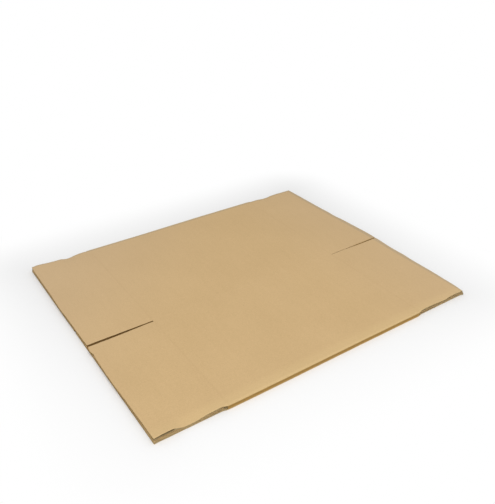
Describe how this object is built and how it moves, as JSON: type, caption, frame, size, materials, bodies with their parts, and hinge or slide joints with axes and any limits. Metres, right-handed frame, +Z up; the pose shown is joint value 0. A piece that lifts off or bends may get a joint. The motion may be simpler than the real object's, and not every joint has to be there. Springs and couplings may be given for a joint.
{
  "type": "flattened cardboard box",
  "caption": "Slotted double-wall cardboard carton, knocked down flat, with its flaps lying open and its corner joint glued.",
  "frame": {"origin": "middle of the underside", "axes": "+X along the flutes, from the bottom flaps to the top flaps; +Y across the panels, from the fold beside the narrow upper panel to the other fold; +Z up, through the thickness"},
  "size_m": [1.07, 0.9, 0.016],
  "materials": {
    "kraft_board": "matt brown kraft liner, with raw corrugated edges"
  },
  "bodies": {
    "root": {"flat_carton": "kraft_board"}
  },
  "joints": []
}
